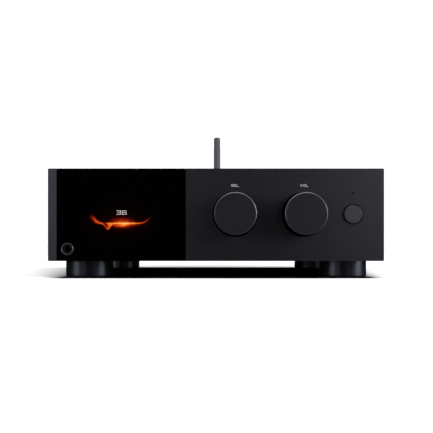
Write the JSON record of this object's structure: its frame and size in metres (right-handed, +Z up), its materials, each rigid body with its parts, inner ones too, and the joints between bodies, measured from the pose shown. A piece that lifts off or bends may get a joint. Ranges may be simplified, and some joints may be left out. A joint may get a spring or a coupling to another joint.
{
  "type": "integrated amplifier",
  "caption": "Low, wide stereo amplifier: metal front with two round knobs, a power button, a black glass display and a headphone socket, on round feet, with a hinged rear antenna.",
  "frame": {"origin": "on the ground, under the middle of the envelope", "axes": "+X to the right seen from the front, +Y from the front panel to the rear, +Z up"},
  "size_m": [0.35, 0.342, 0.2],
  "materials": {
    "panel_aluminium": "satin anodised anthracite",
    "knob_aluminium": "satin anodised, turned",
    "button_aluminium": "satin",
    "black_glass": "gloss",
    "display_plastic": "gloss",
    "socket_metal": "satin",
    "black_plastic": "fine texture",
    "black_rubber": "matte",
    "case_steel": "fine textured powder coat",
    "foot_metal": "satin anodised",
    "zinc_plate": "zinc plated",
    "spring_steel": "bright wire",
    "circuit_board": "solder mask",
    "winding_wrap": "polyester tape over copper",
    "capacitor_sleeve": "shrink sleeve",
    "heat_sink_aluminium": "black anodised",
    "shield_can": "tin plated",
    "gold_plate": "gold plated",
    "red_plastic": "gloss",
    "white_nylon": "satin",
    "lamp_plastic": "clear red",
    "cable_jacket": "soft vinyl"
  },
  "bodies": {
    "amplifier": {"front_panel": "panel_aluminium", "display_glass": "black_glass", "display_module": "display_plastic", "headphone_bezel": "socket_metal", "headphone_socket": "black_plastic", "encoder_bodies": "zinc_plate", "encoder_nuts": "zinc_plate", "button_sleeve": "black_plastic", "button_spring": "spring_steel", "power_switch": "black_plastic", "standby_lamp": "lamp_plastic", "control_board": "circuit_board", "base_tray": "case_steel", "top_cover": "case_steel", "rear_panel": "case_steel", "machine_screws": "zinc_plate", "front_left_foot": "foot_metal", "front_right_foot": "foot_metal", "rear_left_foot": "foot_metal", "rear_right_foot": "foot_metal", "foot_pads": "black_rubber", "foot_screws": "zinc_plate", "mains_transformer": "winding_wrap", "transformer_clamp": "zinc_plate", "transformer_bolt": "zinc_plate", "transformer_pads": "black_rubber", "power_supply_board": "circuit_board", "smoothing_capacitors": "capacitor_sleeve", "heat_sink": "heat_sink_aluminium", "output_transistors": "black_plastic", "amplifier_board": "circuit_board", "input_board": "circuit_board", "input_sockets": "gold_plate", "socket_insulators": "white_nylon", "streaming_module": "shield_can", "binding_posts": "gold_plate", "post_insulators": "black_plastic", "mains_inlet": "black_plastic", "network_socket": "shield_can", "antenna_connector": "gold_plate", "wiring_looms": "cable_jacket", "board_standoffs": "zinc_plate"},
    "selector_knob": {"selector_knob": "knob_aluminium", "selector_shaft": "zinc_plate"},
    "volume_knob": {"volume_knob": "knob_aluminium", "volume_shaft": "zinc_plate"},
    "power_button": {"power_button": "button_aluminium", "switch_plunger": "white_nylon"},
    "fuse_drawer": {"fuse_drawer": "black_plastic"},
    "mains_rocker": {"mains_rocker": "black_plastic"},
    "antenna_base": {"antenna_base": "black_plastic"},
    "antenna_whip": {"antenna_whip": "black_plastic"},
    "left_positive_washer": {"left_positive_washer": "gold_plate"},
    "left_positive_cap": {"left_positive_cap": "red_plastic"},
    "left_negative_washer": {"left_negative_washer": "gold_plate"},
    "left_negative_cap": {"left_negative_cap": "black_plastic"},
    "right_positive_washer": {"right_positive_washer": "gold_plate"},
    "right_positive_cap": {"right_positive_cap": "red_plastic"},
    "right_negative_washer": {"right_negative_washer": "gold_plate"},
    "right_negative_cap": {"right_negative_cap": "black_plastic"}
  },
  "joints": [
    {"name": "selector_turn", "type": "hinge", "parent": "amplifier", "child": "selector_knob", "pos_m": [0.0199, -0.153, 0.0667], "axis": [0, 1, 0], "continuous": true},
    {"name": "volume_turn", "type": "hinge", "parent": "amplifier", "child": "volume_knob", "pos_m": [0.0919, -0.153, 0.0667], "axis": [0, 1, 0], "continuous": true},
    {"name": "power_press", "type": "slide", "parent": "amplifier", "child": "power_button", "axis": [0, 1, 0], "range_m": [0, 0.0012], "stiffness_N_per_m": 600, "springref_m": -0.0015, "deforming": ["button_spring"]},
    {"name": "fuse_drawer_slide", "type": "slide", "parent": "amplifier", "child": "fuse_drawer", "axis": [0, 1, 0], "range_m": [0, 0.02]},
    {"name": "rocker_tilt", "type": "hinge", "parent": "amplifier", "child": "mains_rocker", "pos_m": [-0.14, 0.1455, 0.0745], "axis": [1, 0, 0], "range_deg": [-20, 0]},
    {"name": "antenna_turn", "type": "hinge", "parent": "amplifier", "child": "antenna_base", "pos_m": [0, 0.161, 0.092], "axis": [0, 1, 0], "range_deg": [-90, 90]},
    {"name": "antenna_fold", "type": "hinge", "parent": "antenna_base", "child": "antenna_whip", "pos_m": [0, 0.161, 0.092], "axis": [1, 0, 0], "range_deg": [-90, 0]},
    {"name": "left_positive_travel", "type": "slide", "parent": "amplifier", "child": "left_positive_washer", "axis": [0, 1, 0], "range_m": [0, 0.0024]},
    {"name": "left_positive_turn", "type": "hinge", "parent": "left_positive_washer", "child": "left_positive_cap", "pos_m": [-0.078, 0.16, 0.044], "axis": [0, 1, 0], "range_deg": [0, 1081]},
    {"name": "left_negative_travel", "type": "slide", "parent": "amplifier", "child": "left_negative_washer", "axis": [0, 1, 0], "range_m": [0, 0.0024]},
    {"name": "left_negative_turn", "type": "hinge", "parent": "left_negative_washer", "child": "left_negative_cap", "pos_m": [-0.05895, 0.16, 0.044], "axis": [0, 1, 0], "range_deg": [0, 1081]},
    {"name": "right_positive_travel", "type": "slide", "parent": "amplifier", "child": "right_positive_washer", "axis": [0, 1, 0], "range_m": [0, 0.0024]},
    {"name": "right_positive_turn", "type": "hinge", "parent": "right_positive_washer", "child": "right_positive_cap", "pos_m": [-0.032, 0.16, 0.044], "axis": [0, 1, 0], "range_deg": [0, 1081]},
    {"name": "right_negative_travel", "type": "slide", "parent": "amplifier", "child": "right_negative_washer", "axis": [0, 1, 0], "range_m": [0, 0.0024]},
    {"name": "right_negative_turn", "type": "hinge", "parent": "right_negative_washer", "child": "right_negative_cap", "pos_m": [-0.01295, 0.16, 0.044], "axis": [0, 1, 0], "range_deg": [0, 1081]}
  ],
  "couplings": [
    {"joint": "left_positive_turn", "follows": "left_positive_travel", "rad_per_m": 7854},
    {"joint": "left_negative_turn", "follows": "left_negative_travel", "rad_per_m": 7854},
    {"joint": "right_positive_turn", "follows": "right_positive_travel", "rad_per_m": 7854},
    {"joint": "right_negative_turn", "follows": "right_negative_travel", "rad_per_m": 7854}
  ]
}
